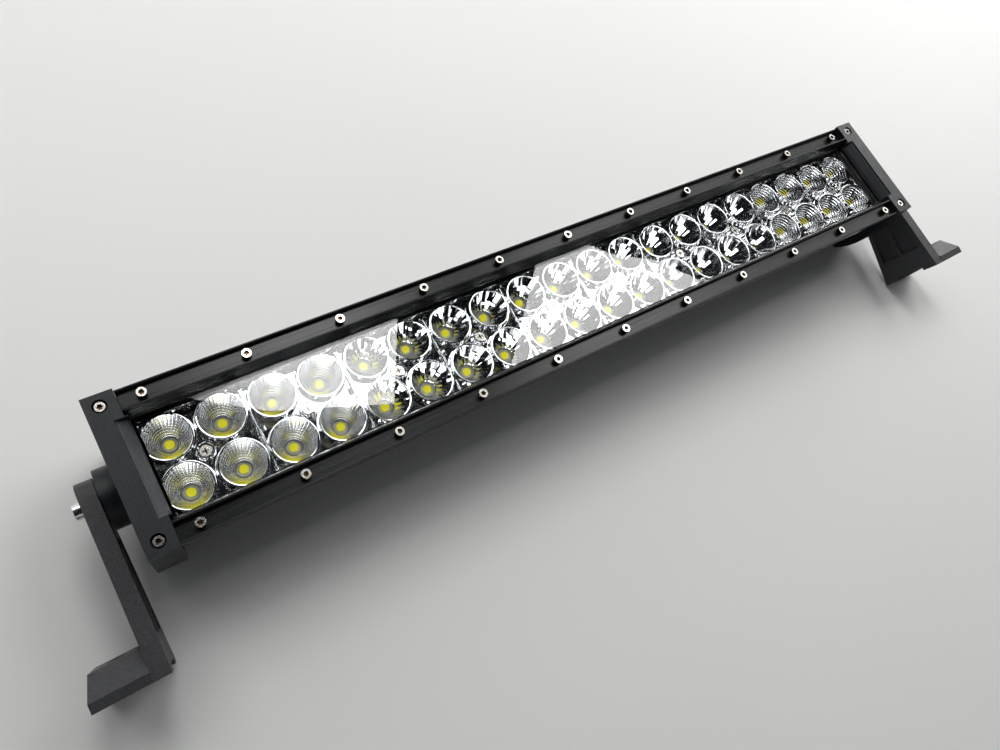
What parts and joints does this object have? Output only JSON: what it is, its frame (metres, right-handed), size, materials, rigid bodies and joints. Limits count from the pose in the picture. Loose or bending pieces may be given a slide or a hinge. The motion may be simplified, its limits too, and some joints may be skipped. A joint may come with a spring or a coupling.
{
  "type": "led light bar",
  "caption": "Straight LED light bar: finned housing, clear lens over reflector cups, press strips, die-cast end caps with pivots, and swinging foot brackets.",
  "frame": {"origin": "middle of the centre fin's back edge, half way along the bar", "axes": "+X along the bar, +Y up the face when the bar is mounted upright, +Z out of the lens; the bar lies on its back"},
  "size_m": [0.6434, 0.1272, 0.064],
  "materials": {
    "black_extrusion": "satin black powder coat on extruded aluminium",
    "strip_black": "satin black anodised extrusion",
    "cap_black": "fine-textured black powder coat on a die casting",
    "bracket_black": "fine-textured black powder coat on a die casting",
    "stainless": "bright stainless steel screws",
    "bright_steel": "bright plated bolt, nut and washer",
    "lens_clear": "clear polycarbonate, glossy",
    "reflector_mirror": "vacuum-metallised mirror on moulded plastic",
    "gasket_black": "matte silicone rubber",
    "board_white": "white solder mask on an aluminium-core board",
    "led_ceramic": "white ceramic package",
    "phosphor": "yellow phosphor under a clear silicone dome",
    "board_green": "green solder mask on glass-fibre board",
    "copper_coil": "enamelled copper wire",
    "capacitor_black": "sleeved aluminium can",
    "standoff_brass": "turned brass",
    "terminal_green": "moulded nylon terminal",
    "wire_red": "red silicone wire insulation",
    "wire_black": "black silicone wire insulation",
    "gland_black": "moulded black nylon"
  },
  "bodies": {
    "bar": {"housing": "black_extrusion", "press_strip_upper": "strip_black", "press_strip_lower": "strip_black", "strip_screws": "stainless", "end_cap_left": "cap_black", "end_cap_right": "cap_black", "corner_screws": "stainless", "cap_screws": "stainless", "end_gasket_left": "gasket_black", "end_gasket_right": "gasket_black", "lens": "lens_clear", "lens_gasket": "gasket_black", "reflector_1": "reflector_mirror", "reflector_2": "reflector_mirror", "reflector_3": "reflector_mirror", "reflector_4": "reflector_mirror", "reflector_5": "reflector_mirror", "reflector_6": "reflector_mirror", "reflector_7": "reflector_mirror", "reflector_8": "reflector_mirror", "reflector_9": "reflector_mirror", "reflector_10": "reflector_mirror", "reflector_screws": "stainless", "led_board_left": "board_white", "led_board_right": "board_white", "led_packages": "led_ceramic", "led_domes": "phosphor", "driver_board": "board_green", "driver_standoffs": "standoff_brass", "driver_coils": "copper_coil", "driver_capacitors": "capacitor_black", "driver_terminals": "terminal_green", "supply_leads": "wire_red", "board_leads": "wire_black", "gland_body": "gland_black", "gland_locknut": "gland_black", "gland_seal": "gasket_black", "gland_cap": "gland_black", "breather_valve": "gland_black", "pivot_bolt_left": "bright_steel", "pivot_bolt_right": "bright_steel", "friction_washer_left": "gland_black", "friction_washer_right": "gland_black", "pivot_nut_left": "bright_steel", "pivot_nut_right": "bright_steel", "plain_washer_left": "bright_steel", "plain_washer_right": "bright_steel"},
    "bracket_left": {"bracket_left": "bracket_black"},
    "bracket_right": {"bracket_right": "bracket_black"}
  },
  "joints": [
    {"name": "bracket_left_swing", "type": "hinge", "parent": "bar", "child": "bracket_left", "pos_m": [-0.2936, 0, 0.037], "axis": [-1, 0, 0], "continuous": true},
    {"name": "bracket_right_swing", "type": "hinge", "parent": "bar", "child": "bracket_right", "pos_m": [0.2936, 0, 0.037], "axis": [-1, 0, 0], "continuous": true}
  ]
}
